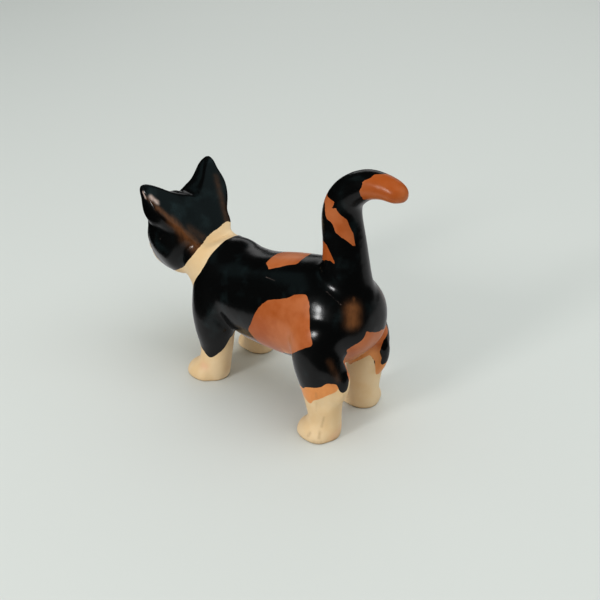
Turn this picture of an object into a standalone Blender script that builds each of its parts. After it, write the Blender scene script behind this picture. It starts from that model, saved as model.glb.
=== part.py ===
"""Carved soapstone cat figurine, standing on four stubby legs with its tail up.

The cat faces -Y and its left side is +X.  It is carved from one stone, so it is one solid.
Each limb is a loft: a row of oval cross-sections carried along a path.  The lofts are fused
into one skin, the joins are rubbed smooth, and the carver's hollows are pressed in.
"""
import bmesh
import bpy
import numpy as np
from mathutils import Vector

# Driving dimensions, in metres
HEIGHT = 0.102            # from the floor to the top of the tail's bend
TRACK = 0.0290            # between the left and the right front feet, centre to centre
WHEELBASE = 0.0620        # between the left front and the left hind foot, centre to centre
EAR_SPAN = 0.0376         # between the tips of the ears
EAR_RISE = 0.0028         # the right ear's tip above the left one's
EAR_SLIM = 0.84           # thickness of the right ear, as a share of the left one's

# The stance: this cat isn't quite even on its feet, and it looks a little to its left
HIND_INSET = 0.0016       # the right hind foot is this much closer to the middle,
HIND_LEAD = 0.0018        # and this much further forward, than the left one
HEAD_TURN = 3.0           # degrees

# The skin
SKIN_CELL = 0.0010        # cell of the grid that fuses the lofts
RUB_ROUNDS = 6            # rounds of smoothing all over, like the last sanding
JOIN_ROUNDS = 24          # further rounds where limbs meet
MOST_FACES = 8600         # triangles that the finished skin keeps
HEAD_SQUARE = 2.35        # how full the corners of the head's ovals are; 2 is a plain oval
CROWN_SQUARE = 3.0        # the same for the form that carries the ears
AROUND = 32               # points in one cross-section
ALONG = 40                # cross-sections in one loft

STONE_BLACK = (0.012, 0.011, 0.011, 1.0)
STONE_ROUGHNESS = 0.25

# Everything below is in shares of the height, in hundredths
SHARE = HEIGHT / 100
FOOT_X = TRACK / 2 / SHARE
FOOT_Y = WHEELBASE / 2 / SHARE
EAR_X = EAR_SPAN / 2 / SHARE
HEAD_PIVOT = -55.0        # y of the upright axis that the head turns about

FRONT_FEET = ((FOOT_X, -FOOT_Y), (-FOOT_X, -FOOT_Y))
HIND_FEET = ((FOOT_X, FOOT_Y), (HIND_INSET / SHARE - FOOT_X, FOOT_Y - HIND_LEAD / SHARE))

# Tables of cross-sections: x, y, z, half width, half depth.  The half width lies across the
# cat and the half depth across the path.  The limbs that follow are on the cat's own axes.
TRUNK = (
    (0, 44.2, 42.5, 0, 0),
    (0, 41.6, 42.5, 9.5, 9.0),
    (0, 35.5, 42.8, 15.2, 15.5),
    (0, 25.0, 42.4, 18.0, 20.0),
    (0, 10.0, 40.0, 18.2, 20.1),
    (0, -8.0, 37.2, 17.7, 18.4),
    (0, -22.0, 38.0, 16.7, 16.8),
    (0, -31.0, 41.0, 15.4, 16.3),
    (0, -38.0, 44.5, 13.4, 13.4),
    (0, -45.0, 48.6, 12.4, 11.8),
    (0, -52.0, 52.0, 12.0, 11.0),
    (0, -57.0, 54.0, 0, 0),
)
TAIL = (
    (0, 30.0, 44.0, 0, 0),
    (0, 30.5, 50.0, 10.6, 11.2),
    (0, 30.0, 58.0, 9.0, 9.2),
    (0, 28.7, 71.0, 7.7, 7.7),
    (0, 27.1, 82.0, 7.0, 6.9),
    (0, 29.4, 89.1, 6.3, 6.1),
    (0, 36.4, 94.4, 5.4, 5.2),
    (0, 43.6, 95.6, 4.7, 4.2),
    (0, 49.4, 94.6, 4.0, 3.4),
    (0, 52.6, 93.0, 0, 0),
)

# These turn with the head, and the whisker pad is there on both sides
HEAD = (
    (0, -41.0, 51.0, 0, 0),
    (0, -43.0, 53.0, 13.6, 12.0),
    (0, -50.0, 52.2, 17.2, 15.8),
    (0, -57.0, 49.8, 15.7, 16.4),
    (0, -63.0, 46.4, 12.4, 14.0),
    (0, -68.0, 43.9, 8.7, 10.0),
    (0, -71.5, 44.2, 0, 0),
)
MUZZLE = (
    (0, -61.0, 49.5, 0, 0),
    (0, -65.5, 47.8, 7.4, 6.6),
    (0, -70.0, 46.2, 5.8, 5.2),
    (0, -73.4, 45.5, 3.9, 3.6),
    (0, -75.6, 45.4, 0, 0),
)
WHISKER_PAD = (
    (2.2, -65.0, 43.6, 0, 0),
    (2.5, -68.5, 43.0, 4.6, 4.1),
    (2.5, -71.6, 42.9, 3.9, 3.5),
    (2.4, -74.2, 43.1, 0, 0),
)
CHIN = (
    (0, -64.0, 41.0, 0, 0),
    (0, -67.5, 39.8, 4.2, 3.6),
    (0, -70.0, 39.6, 3.4, 2.8),
    (0, -72.2, 39.8, 0, 0),
)
# From the left ear's tip to the dip between the ears.  This one runs across the cat, so its
# radii are front to back first, and then its thickness.
CROWN = (
    (EAR_X, -57.8, 76.2, 0, 0),
    (EAR_X - 0.8, -57.7, 74.9, 3.0, 2.0),
    (EAR_X - 3.2, -56.8, 71.6, 5.5, 4.3),
    (12.0, -54.6, 66.2, 8.7, 7.6),
    (6.4, -53.0, 61.6, 10.8, 9.6),
)
CROWN_MIDDLE = (-2.2, -52.6, 59.2, 11.2, 9.2)

# These are measured from the middle of the foot, outwards from the cat's middle
HIND_LEG = (
    (-6.5, -4.5, 47.0, 0, 0),
    (-2.6, -3.2, 42.0, 8.4, 11.5),
    (-0.2, -1.8, 35.5, 8.2, 10.6),
    (0.5, 0.5, 28.0, 7.7, 10.7),
    (0.2, 1.3, 20.0, 7.0, 8.2),
    (-0.4, 1.6, 14.0, 6.5, 7.1),
    (-0.8, 1.8, 8.0, 6.0, 6.4),
    (-0.5, 1.5, 3.0, 6.5, 6.9),
    (0.0, 1.0, -5.0, 5.4, 6.2),
)
HOCK = (
    (-1.0, 5.6, 33.0, 0, 0),
    (-0.6, 8.6, 28.8, 3.2, 3.3),
    (-0.4, 9.5, 25.8, 3.0, 3.1),
    (-0.4, 8.4, 20.0, 2.6, 2.8),
    (-0.6, 5.6, 12.0, 0, 0),
)
FRONT_LEG = (
    (-7.0, 4.4, 46.0, 0, 0),
    (-5.1, 3.4, 40.0, 7.4, 10.8),
    (-3.2, 2.9, 30.0, 8.2, 10.4),
    (-2.1, 3.5, 22.0, 7.5, 8.9),
    (-2.1, 3.9, 14.0, 6.3, 7.4),
    (-1.7, 3.7, 8.5, 6.0, 6.8),
    (-0.8, 3.0, 3.0, 6.6, 7.0),
    (0.2, 2.4, -5.0, 5.4, 6.2),
)
PAW = (
    (0.2, -8.0, 0.8, 0, 0),
    (0.2, -7.0, 1.0, 4.3, 2.6),
    (0.3, -4.0, 1.2, 6.9, 4.4),
    (0.5, 0.5, 1.5, 7.6, 6.0),
    (0.4, 4.8, 1.2, 6.6, 5.0),
    (0.3, 7.6, 1.0, 0, 0),
)

# Joins that are rubbed smoother than the rest, on both sides: x, y, z of the middle, and reach
JOINS = (
    (14.0, -24.0, 37.0, 12.0),
    (10.0, -36.0, 34.0, 9.0),
    (16.0, 22.0, 40.0, 15.0),
    (10.0, 36.0, 36.0, 8.0),
    (9.0, 40.0, 46.0, 8.0),
    (15.0, -52.0, 60.0, 11.0),
    (9.0, -44.0, 40.0, 7.0),
    (7.0, 28.0, 58.0, 11.0),
)

# Hollows, on both sides: x, y, z of one end, x, y, z of the other end, reach, depth
BODY_HOLLOWS = (
    (0.0, 41.0, 44.0, 0.0, 46.0, 32.0, 3.2, 0.5),
    (9.5, 38.5, 22.0, 11.0, 37.0, 33.0, 2.2, 1.0),
    (20.0, 37.0, 28.0, 19.5, 36.5, 17.0, 2.6, 0.8),
    (12.0, -19.0, 26.0, 17.0, -18.5, 30.0, 2.4, 0.8),
)
HEAD_HOLLOWS = (
    (0.0, -51.0, 69.0, 0.0, -43.0, 59.0, 7.0, 1.0),
    (12.0, -64.0, 63.0, 15.0, -63.0, 71.0, 2.6, 1.4),
    (5.4, -68.0, 52.6, 9.6, -65.5, 53.6, 2.8, 0.9),
)

# The flat at the back of the head: a point on it, the way it faces, and how far it reaches
FLAT_POINT = (0.0, -51.6, 70.3)
FLAT_NORMAL = (0.0, 0.781, 0.625)
FLAT_REACH = 27.0


def clear_scene():
    for old in list(bpy.data.objects):
        bpy.data.objects.remove(old)


def mirrored(row, ends=1):
    """The row on the cat's right side: the x of each of its points changes sign."""
    row = list(row)
    for k in range(ends):
        row[3 * k] = -row[3 * k]
    return row


def standing(rows, foot):
    """Rows measured from a foot, put where the foot is and mirrored on the right side."""
    sided = rows if foot[0] > 0 else [mirrored(row) for row in rows]
    return [(foot[0] + x, foot[1] + y, *rest) for x, y, *rest in sided]


def turned(rows, ends=1):
    """Rows of the head, turned with it about its upright axis."""
    sine, cosine = np.sin(np.radians(HEAD_TURN)), np.cos(np.radians(HEAD_TURN))
    result = []
    for row in rows:
        row = list(row)
        for k in range(0, 3 * ends, 3):
            x, y = row[k], row[k + 1] - HEAD_PIVOT
            row[k] = x * cosine - y * sine
            row[k + 1] = HEAD_PIVOT + x * sine + y * cosine
        result.append(row)
    return result


def ear_to_ear():
    """The crown's rows: the left ear, the dip, and the right ear, which is slimmer and higher."""
    right_ear = []
    for x, y, z, deep, thick in CROWN:
        lift = EAR_RISE / SHARE * x / EAR_X
        right_ear.append((-x - (1 - EAR_SLIM) * thick, y + 0.3, z + lift, deep, EAR_SLIM * thick))
    return [*CROWN, CROWN_MIDDLE, *reversed(right_ear)]


def limbs():
    """Every plain loft's rows, each in the place where the cat has it."""
    right_pad = [mirrored(row) for row in WHISKER_PAD]
    tables = [turned(rows) for rows in (MUZZLE, WHISKER_PAD, right_pad, CHIN)]
    for foot in FRONT_FEET:
        tables += [standing(rows, foot) for rows in (FRONT_LEG, PAW)]
    for foot in HIND_FEET:
        tables += [standing(rows, foot) for rows in (HIND_LEG, HOCK, PAW)]
    return [TRUNK, TAIL] + tables


def spline(rows, count):
    """Catmull-Rom curve through the rows, sampled more closely towards its ends."""
    last = len(rows) - 1
    even = np.linspace(0, 1, count)
    at = last * (even + (1 - np.cos(np.pi * even)) / 2) / 2
    padded = np.vstack([2 * rows[0] - rows[1], rows, 2 * rows[-1] - rows[-2]])
    first = np.minimum(at.astype(int), last - 1)
    f = (at - first)[:, None]
    a, b, c, d = (padded[first + k] for k in range(4))
    bend = (2 * a - 5 * b + 4 * c - d) * f**2 + (3 * b - a - 3 * c + d) * f**3
    return 0.5 * (2 * b + (c - a) * f + bend)


def loft(rows, side=(1.0, 0.0, 0.0), square=2.0):
    """Points of a limb in metres, ring by ring, as an array (rings, points, 3).

    Half widths are measured towards side. A square over 2 gives the ovals fuller corners.
    The squares of the radii are splined, so that a limb whose last radius is zero closes in
    a dome and not in a cone.
    """
    rows = np.array(rows, float)
    rows[:, 3:] **= 2
    samples = spline(rows, ALONG)
    centre = samples[:, :3]
    radius = np.sqrt(np.maximum(samples[:, 3:], 1e-6))
    along = np.gradient(centre, axis=0)
    along /= np.linalg.norm(along, axis=1)[:, None]
    across = np.array(side) - (along @ side)[:, None] * along
    across /= np.linalg.norm(across, axis=1)[:, None]
    upward = np.cross(along, across)
    turn = np.linspace(0, 2 * np.pi, AROUND, endpoint=False)
    fuller = (np.abs(np.cos(turn)) ** square + np.abs(np.sin(turn)) ** square) ** (-1 / square)
    sideways = across[:, None] * (radius[:, :1] * fuller * np.cos(turn))[:, :, None]
    lengthways = upward[:, None] * (radius[:, 1:] * fuller * np.sin(turn))[:, :, None]
    return (centre[:, None] + sideways + lengthways) * SHARE


def add_shell(builder, points):
    """Adds the rings of points to the bmesh as a closed shell with its faces pointing out."""
    rings = [[builder.verts.new(point) for point in ring] for ring in points]
    faces = [builder.faces.new(rings[0]), builder.faces.new(rings[-1])]
    for ring, following in zip(rings, rings[1:]):
        for k in range(AROUND):
            after = (k + 1) % AROUND
            faces.append(builder.faces.new((ring[k], ring[after], following[after], following[k])))
    bmesh.ops.recalc_face_normals(builder, faces=faces)


def linked(name, mesh):
    obj = bpy.data.objects.new(name, mesh)
    bpy.context.scene.collection.objects.link(obj)
    return obj


def evaluated_copy(obj):
    """A mesh object of what the modifiers make of obj, which is removed."""
    graph = bpy.context.evaluated_depsgraph_get()
    copy = linked("skin", bpy.data.meshes.new_from_object(obj.evaluated_get(graph)))
    bpy.data.objects.remove(obj)
    return copy


def fused_limbs():
    """All the limbs as one closed skin, rubbed smooth all over."""
    builder = bmesh.new()
    for rows in limbs():
        add_shell(builder, loft(rows))
    add_shell(builder, loft(turned(HEAD), square=HEAD_SQUARE))
    add_shell(builder, loft(turned(ear_to_ear()), side=(0.0, 1.0, 0.0), square=CROWN_SQUARE))
    mesh = bpy.data.meshes.new("limbs")
    builder.to_mesh(mesh)
    builder.free()
    body = linked("limbs", mesh)
    fuse = body.modifiers.new("fuse", "REMESH")
    fuse.mode = "VOXEL"
    fuse.voxel_size = SKIN_CELL
    rub = body.modifiers.new("rub", "SMOOTH")
    rub.iterations = RUB_ROUNDS
    return evaluated_copy(body)


def read_points(mesh):
    flat = np.empty(len(mesh.vertices) * 3, np.float32)
    mesh.vertices.foreach_get("co", flat)
    return flat.reshape(-1, 3).astype(float)


def write_points(mesh, points):
    mesh.vertices.foreach_set("co", points.astype(np.float32).ravel())
    mesh.update()


def read_normals(mesh):
    flat = np.empty(len(mesh.vertices) * 3, np.float32)
    mesh.vertex_normals.foreach_get("vector", flat)
    return flat.reshape(-1, 3).astype(float)


def rub_joins(body):
    """Smooths the skin further round the places where limbs meet."""
    points = read_points(body.data) / SHARE
    weight = np.zeros(len(points))
    for x, y, z, reach in JOINS:
        for middle in ((x, y, z), (-x, y, z)):
            distance = np.linalg.norm(points - middle, axis=1)
            weight = np.maximum(weight, np.exp(-(distance / reach) ** 2))
    group = body.vertex_groups.new(name="joins")
    for index in np.flatnonzero(weight > 0.02):
        group.add([int(index)], float(weight[index]), "REPLACE")
    rub = body.modifiers.new("rub_joins", "SMOOTH")
    rub.vertex_group = group.name
    rub.iterations = JOIN_ROUNDS
    return evaluated_copy(body)


def both_sides(hollows):
    """Each hollow, and once more mirrored where it isn't in the middle."""
    result = []
    for hollow in hollows:
        result.append(hollow)
        if hollow[0] or hollow[3]:
            result.append(mirrored(hollow, ends=2))
    return result


def file_flat(body):
    """Files the back of the head down to a slanting plane, with a rounded edge to the cut."""
    points = read_points(body.data) / SHARE
    normal = np.array(FLAT_NORMAL) / np.linalg.norm(FLAT_NORMAL)
    height = (points - FLAT_POINT) @ normal
    near = np.clip((FLAT_REACH - np.linalg.norm(points - FLAT_POINT, axis=1)) / 4, 0, 1)
    down = near * (height + np.sqrt(height**2 + 1.0)) / 2
    write_points(body.data, (points - down[:, None] * normal) * SHARE)


def press_hollows(body):
    """Presses each hollow into the skin, deepest on the line between its two ends."""
    points = read_points(body.data) / SHARE
    depths = np.zeros(len(points))
    for hollow in both_sides(BODY_HOLLOWS) + turned(both_sides(HEAD_HOLLOWS), ends=2):
        start, end = np.array(hollow[0:3]), np.array(hollow[3:6])
        reach, depth = hollow[6:]
        along = end - start
        share = np.clip((points - start) @ along / (along @ along), 0, 1)
        distance = np.linalg.norm(points - start - share[:, None] * along, axis=1)
        depths += depth * np.exp(-(distance / reach) ** 2)
    write_points(body.data, (points - read_normals(body.data) * depths[:, None]) * SHARE)


def thin_faces(body):
    count = sum(len(polygon.vertices) - 2 for polygon in body.data.polygons)
    thin = body.modifiers.new("thin", "DECIMATE")
    thin.ratio = MOST_FACES / count
    return evaluated_copy(body)


def cut_soles(body):
    """Cuts the feet off flat at the floor and closes the soles."""
    builder = bmesh.new()
    builder.from_mesh(body.data)
    everything = builder.verts[:] + builder.edges[:] + builder.faces[:]
    bmesh.ops.bisect_plane(builder, geom=everything, plane_co=Vector((0, 0, 0)),
                           plane_no=Vector((0, 0, 1)), clear_inner=True, dist=1e-7)
    rims = [edge for edge in builder.edges if edge.is_boundary]
    bmesh.ops.contextual_create(builder, geom=rims)
    builder.to_mesh(body.data)
    builder.free()


def centre_on_floor(body):
    """Puts the origin under the middle of the cat's length and width."""
    points = read_points(body.data)
    middle = (points.min(axis=0) + points.max(axis=0)) / 2
    write_points(body.data, points - (middle[0], middle[1], 0))


def stone(name, colour, roughness):
    material = bpy.data.materials.new(name)
    material.use_nodes = True
    shader = material.node_tree.nodes["Principled BSDF"]
    shader.inputs["Base Color"].default_value = colour
    shader.inputs["Roughness"].default_value = roughness
    shader.inputs["Metallic"].default_value = 0.0
    return material


def build():
    clear_scene()
    body = rub_joins(fused_limbs())
    file_flat(body)
    press_hollows(body)
    body = thin_faces(body)
    cut_soles(body)
    centre_on_floor(body)
    body.name = "cat"
    body.data.name = "cat"
    body.data.shade_smooth()
    body.data.materials.append(stone("dyed_soapstone", STONE_BLACK, STONE_ROUGHNESS))
    collection = bpy.data.collections.new("soapstone_cat")
    bpy.context.scene.collection.children.link(collection)
    collection.objects.link(body)
    bpy.context.scene.collection.objects.unlink(body)


build()
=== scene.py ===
# %% [markdown]
# # A carved and dyed soapstone cat
# The real cat is one piece of soft, cream-coloured stone.  It was sawn, filed and sanded to
# shape, dyed black and orange in patches, and waxed until it shone.  This lesson makes the
# same three things in the same order: the carved form, the dye, and the polish.
# Everything is measured in shares: a hundredth of the cat's height, about one millimetre.

import bmesh
import bpy
import numpy as np
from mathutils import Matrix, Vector
from mathutils.bvhtree import BVHTree


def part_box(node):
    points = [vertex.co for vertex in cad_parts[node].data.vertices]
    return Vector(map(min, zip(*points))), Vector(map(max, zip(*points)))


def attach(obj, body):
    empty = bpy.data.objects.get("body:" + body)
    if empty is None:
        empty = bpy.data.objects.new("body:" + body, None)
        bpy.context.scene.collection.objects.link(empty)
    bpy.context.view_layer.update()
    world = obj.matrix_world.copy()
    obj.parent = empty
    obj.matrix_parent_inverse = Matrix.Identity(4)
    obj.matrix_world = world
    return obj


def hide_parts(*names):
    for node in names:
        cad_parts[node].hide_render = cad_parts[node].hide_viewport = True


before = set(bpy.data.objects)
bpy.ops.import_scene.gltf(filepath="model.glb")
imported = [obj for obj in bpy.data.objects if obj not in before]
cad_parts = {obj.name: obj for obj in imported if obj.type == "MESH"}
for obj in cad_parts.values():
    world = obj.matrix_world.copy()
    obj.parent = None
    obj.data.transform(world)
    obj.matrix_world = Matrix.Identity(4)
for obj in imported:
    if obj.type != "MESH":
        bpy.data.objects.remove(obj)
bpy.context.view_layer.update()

low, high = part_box("cat")
SHARE = high.z / 100
print("the cat is", [round((b - a) * 1000, 1) for a, b in zip(low, high)], "mm")
print("one share is", SHARE * 1000, "mm")

# %% [markdown]
# ## The stance
# The cat faces -Y and its left side is +X.  The carver didn't measure much: the right hind
# foot stands a little closer in and further forward, the right ear is higher, and the head
# looks a few degrees to the left.  Those few numbers are named here, so that the rest can be
# given for one side and mirrored.

# %% The stance
FOOT_X, FOOT_Y = 14.216, 30.392
EAR_X, EAR_RISE, EAR_SLIM = 18.431, 2.745, 0.84
HEAD_TURN, HEAD_PIVOT = 3.0, -55.0
FEET = {
    "left_front": (FOOT_X, -FOOT_Y),
    "right_front": (-FOOT_X, -FOOT_Y),
    "left_hind": (FOOT_X, FOOT_Y),
    "right_hind": (1.569 - FOOT_X, FOOT_Y - 1.765),
}

# %% [markdown]
# ## The blocked-out form
# A carver sees the cat as a few long rounded masses: trunk, tail, head, ears, legs, paws.
# Each could be a sculpted ball, or a subdivided cage.  Here each is a loft, an oval profile
# carried along a path, because a row of ovals says plainly how thick a limb is and where it
# bends.  A row holds x, y, z, half width and half depth.

# %% The rows of trunk and tail
TRUNK = (
    (0, 44.2, 42.5, 0, 0),
    (0, 41.6, 42.5, 9.5, 9.0),
    (0, 35.5, 42.8, 15.2, 15.5),
    (0, 25.0, 42.4, 18.0, 20.0),
    (0, 10.0, 40.0, 18.2, 20.1),
    (0, -8.0, 37.2, 17.7, 18.4),
    (0, -22.0, 38.0, 16.7, 16.8),
    (0, -31.0, 41.0, 15.4, 16.3),
    (0, -38.0, 44.5, 13.4, 13.4),
    (0, -45.0, 48.6, 12.4, 11.8),
    (0, -52.0, 52.0, 12.0, 11.0),
    (0, -57.0, 54.0, 0, 0),
)
TAIL = (
    (0, 30.0, 44.0, 0, 0),
    (0, 30.5, 50.0, 10.6, 11.2),
    (0, 30.0, 58.0, 9.0, 9.2),
    (0, 28.7, 71.0, 7.7, 7.7),
    (0, 27.1, 82.0, 7.0, 6.9),
    (0, 29.4, 89.1, 6.3, 6.1),
    (0, 36.4, 94.4, 5.4, 5.2),
    (0, 43.6, 95.6, 4.7, 4.2),
    (0, 49.4, 94.6, 4.0, 3.4),
    (0, 52.6, 93.0, 0, 0),
)

# %% The rows of the head
HEAD = (
    (0, -41.0, 51.0, 0, 0),
    (0, -43.0, 53.0, 13.6, 12.0),
    (0, -50.0, 52.2, 17.2, 15.8),
    (0, -57.0, 49.8, 15.7, 16.4),
    (0, -63.0, 46.4, 12.4, 14.0),
    (0, -68.0, 43.9, 8.7, 10.0),
    (0, -71.5, 44.2, 0, 0),
)
MUZZLE = (
    (0, -61.0, 49.5, 0, 0),
    (0, -65.5, 47.8, 7.4, 6.6),
    (0, -70.0, 46.2, 5.8, 5.2),
    (0, -73.4, 45.5, 3.9, 3.6),
    (0, -75.6, 45.4, 0, 0),
)
WHISKER_PAD = (
    (2.2, -65.0, 43.6, 0, 0),
    (2.5, -68.5, 43.0, 4.6, 4.1),
    (2.5, -71.6, 42.9, 3.9, 3.5),
    (2.4, -74.2, 43.1, 0, 0),
)
CHIN = (
    (0, -64.0, 41.0, 0, 0),
    (0, -67.5, 39.8, 4.2, 3.6),
    (0, -70.0, 39.6, 3.4, 2.8),
    (0, -72.2, 39.8, 0, 0),
)
CROWN = (
    (EAR_X, -57.8, 76.2, 0, 0),
    (EAR_X - 0.8, -57.7, 74.9, 3.0, 2.0),
    (EAR_X - 3.2, -56.8, 71.6, 5.5, 4.3),
    (12.0, -54.6, 66.2, 8.7, 7.6),
    (6.4, -53.0, 61.6, 10.8, 9.6),
)
CROWN_MIDDLE = (-2.2, -52.6, 59.2, 11.2, 9.2)

# %% The rows of a leg, measured from the middle of its foot
HIND_LEG = (
    (-6.5, -4.5, 47.0, 0, 0),
    (-2.6, -3.2, 42.0, 8.4, 11.5),
    (-0.2, -1.8, 35.5, 8.2, 10.6),
    (0.5, 0.5, 28.0, 7.7, 10.7),
    (0.2, 1.3, 20.0, 7.0, 8.2),
    (-0.4, 1.6, 14.0, 6.5, 7.1),
    (-0.8, 1.8, 8.0, 6.0, 6.4),
    (-0.5, 1.5, 3.0, 6.5, 6.9),
    (0.0, 1.0, -5.0, 5.4, 6.2),
)
HOCK = (
    (-1.0, 5.6, 33.0, 0, 0),
    (-0.6, 8.6, 28.8, 3.2, 3.3),
    (-0.4, 9.5, 25.8, 3.0, 3.1),
    (-0.4, 8.4, 20.0, 2.6, 2.8),
    (-0.6, 5.6, 12.0, 0, 0),
)
FRONT_LEG = (
    (-7.0, 4.4, 46.0, 0, 0),
    (-5.1, 3.4, 40.0, 7.4, 10.8),
    (-3.2, 2.9, 30.0, 8.2, 10.4),
    (-2.1, 3.5, 22.0, 7.5, 8.9),
    (-2.1, 3.9, 14.0, 6.3, 7.4),
    (-1.7, 3.7, 8.5, 6.0, 6.8),
    (-0.8, 3.0, 3.0, 6.6, 7.0),
    (0.2, 2.4, -5.0, 5.4, 6.2),
)
PAW = (
    (0.2, -8.0, 0.8, 0, 0),
    (0.2, -7.0, 1.0, 4.3, 2.6),
    (0.3, -4.0, 1.2, 6.9, 4.4),
    (0.5, 0.5, 1.5, 7.6, 6.0),
    (0.4, 4.8, 1.2, 6.6, 5.0),
    (0.3, 7.6, 1.0, 0, 0),
)


# %% Rows in their place
def mirrored(row, ends=1):
    """The row on the cat's right side: the x of each of its points changes sign."""
    row = list(row)
    for k in range(ends):
        row[3 * k] = -row[3 * k]
    return row


def standing(rows, foot):
    """Rows measured from a foot, put where the foot is and mirrored on the right side."""
    sided = rows if foot[0] > 0 else [mirrored(row) for row in rows]
    return [(foot[0] + x, foot[1] + y, *rest) for x, y, *rest in sided]


def turned(rows, ends=1):
    """Rows of the head, with each x and y turned by HEAD_TURN about the head's pivot."""
    sine, cosine = np.sin(np.radians(HEAD_TURN)), np.cos(np.radians(HEAD_TURN))
    result = []
    for row in rows:
        row = list(row)
        for k in range(0, 3 * ends, 3):
            x, y = row[k], row[k + 1] - HEAD_PIVOT
            row[k] = x * cosine - y * sine
            row[k + 1] = HEAD_PIVOT + x * sine + y * cosine
        result.append(row)
    return result


# %% [markdown]
# ## The crown and the ears
# The ears rise from the skull without a seam.  They could be cones set on the head.  Here one
# loft runs from the tip of the left ear over the crown to the tip of the right ear, which is
# the left one mirrored, made slimmer and raised a little.

# %% The crown, and all the limbs
right_ear = [(-x - (1 - EAR_SLIM) * thick, y + 0.3, z + EAR_RISE * x / EAR_X, deep, EAR_SLIM * thick)
             for x, y, z, deep, thick in CROWN]
crown = [*CROWN, CROWN_MIDDLE, *reversed(right_ear)]
right_pad = [mirrored(row) for row in WHISKER_PAD]
limbs = [TRUNK, TAIL] + [turned(rows) for rows in (MUZZLE, WHISKER_PAD, right_pad, CHIN)]
for name, foot in FEET.items():
    tables = (FRONT_LEG, PAW) if "front" in name else (HIND_LEG, HOCK, PAW)
    limbs += [standing(rows, foot) for rows in tables]
print("the cat is blocked out from", len(limbs) + 2, "limbs, head and crown included")

# %% A loft
AROUND, ALONG = 48, 60


def spline(rows, count):
    """Catmull-Rom curve: each stretch is a cubic that passes through two neighbouring rows,
    with the direction at each row half the step between the rows on either side of it."""
    last = len(rows) - 1
    even = np.linspace(0, 1, count)
    at = last * (even + (1 - np.cos(np.pi * even)) / 2) / 2
    padded = np.vstack([2 * rows[0] - rows[1], rows, 2 * rows[-1] - rows[-2]])
    first = np.minimum(at.astype(int), last - 1)
    f = (at - first)[:, None]
    a, b, c, d = (padded[first + k] for k in range(4))
    bend = (2 * a - 5 * b + 4 * c - d) * f**2 + (3 * b - a - 3 * c + d) * f**3
    return 0.5 * (2 * b + (c - a) * f + bend)


def loft(rows, side=(1.0, 0.0, 0.0), square=2.0):
    """Points of a limb as an array (rings, points, 3).  A point is the path's point, plus
    the half width times the cosine of its turn sideways, plus the half depth times the sine
    of its turn along the second direction across the path.  With square over 2 the oval
    gets fuller corners: each point moves out until the two powers add up to one.  The
    squares of the radii are splined, so that a limb whose last radius is zero closes in a
    dome."""
    rows = np.array(rows, float)
    rows[:, 3:] **= 2
    samples = spline(rows, ALONG)
    centre = samples[:, :3]
    radius = np.sqrt(np.maximum(samples[:, 3:], 1e-6))
    along = np.gradient(centre, axis=0)
    along /= np.linalg.norm(along, axis=1)[:, None]
    across = np.array(side) - (along @ side)[:, None] * along
    across /= np.linalg.norm(across, axis=1)[:, None]
    upward = np.cross(along, across)
    turn = np.linspace(0, 2 * np.pi, AROUND, endpoint=False)
    fuller = (np.abs(np.cos(turn)) ** square + np.abs(np.sin(turn)) ** square) ** (-1 / square)
    sideways = across[:, None] * (radius[:, :1] * fuller * np.cos(turn))[:, :, None]
    lengthways = upward[:, None] * (radius[:, 1:] * fuller * np.sin(turn))[:, :, None]
    return centre[:, None] + sideways + lengthways


def loft_faces():
    """Corner numbers of a loft's faces: a quad between each two neighbours of each two
    neighbouring rings, and one cap on the first and the last ring."""
    ring, point = np.meshgrid(np.arange(ALONG - 1), np.arange(AROUND), indexing="ij")
    after = (point + 1) % AROUND
    here, there = ring * AROUND, (ring + 1) * AROUND
    corners = [here + point, here + after, there + after, there + point]
    quads = np.stack(corners, axis=-1).reshape(-1, 4)
    caps = [np.arange(AROUND)[::-1], (ALONG - 1) * AROUND + np.arange(AROUND)]
    return quads, caps


# %% All the limbs in one mesh
quads, caps = loft_faces()
forms = [loft(rows) for rows in limbs]
forms.append(loft(turned(HEAD), square=2.35))
forms.append(loft(turned(crown), side=(0.0, 1.0, 0.0), square=3.0))
blocks = np.concatenate([form.reshape(-1, 3) for form in forms])
starts = np.arange(len(forms)) * AROUND * ALONG
faces = [face for start in starts for face in (quads + start).tolist()]
faces += [(cap + start).tolist() for start in starts for cap in caps]
rough_mesh = bpy.data.meshes.new("blocked_out")
rough_mesh.from_pydata((blocks * SHARE).tolist(), [], faces)
shells = bmesh.new()
shells.from_mesh(rough_mesh)
bmesh.ops.recalc_face_normals(shells, faces=shells.faces)
shells.to_mesh(rough_mesh)
shells.free()
print("blocked out:", len(rough_mesh.vertices), "points")

# %% [markdown]
# ## One stone
# The limbs still pass through each other.  A Boolean union would join them with hard seams.
# The real cat has none, because files and sandpaper run across every join, so the limbs are
# turned into one skin on a fine grid, with Blender's voxel Remesh, and the skin is smoothed:
# a little everywhere, and much more where limbs meet.

# %% Fusing and sanding
SKIN_CELL = 0.00066       # metres
SANDING = 14              # rounds of smoothing all over
JOIN_SANDING = 60         # further rounds at the joins
JOINS = (
    (14.0, -24.0, 37.0, 12.0),
    (10.0, -36.0, 34.0, 9.0),
    (16.0, 22.0, 40.0, 15.0),
    (10.0, 36.0, 36.0, 8.0),
    (9.0, 40.0, 46.0, 8.0),
    (15.0, -52.0, 60.0, 11.0),
    (9.0, -44.0, 40.0, 7.0),
    (7.0, 28.0, 58.0, 11.0),
)


def linked(name, mesh):
    obj = bpy.data.objects.new(name, mesh)
    bpy.context.scene.collection.objects.link(obj)
    return obj


def with_modifier(obj, kind, **settings):
    """A new mesh object of what one modifier makes of obj, which is removed."""
    modifier = obj.modifiers.new(kind.lower(), kind)
    for name, value in settings.items():
        setattr(modifier, name, value)
    graph = bpy.context.evaluated_depsgraph_get()
    made = linked("skin", bpy.data.meshes.new_from_object(obj.evaluated_get(graph)))
    bpy.data.objects.remove(obj)
    return made


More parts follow.
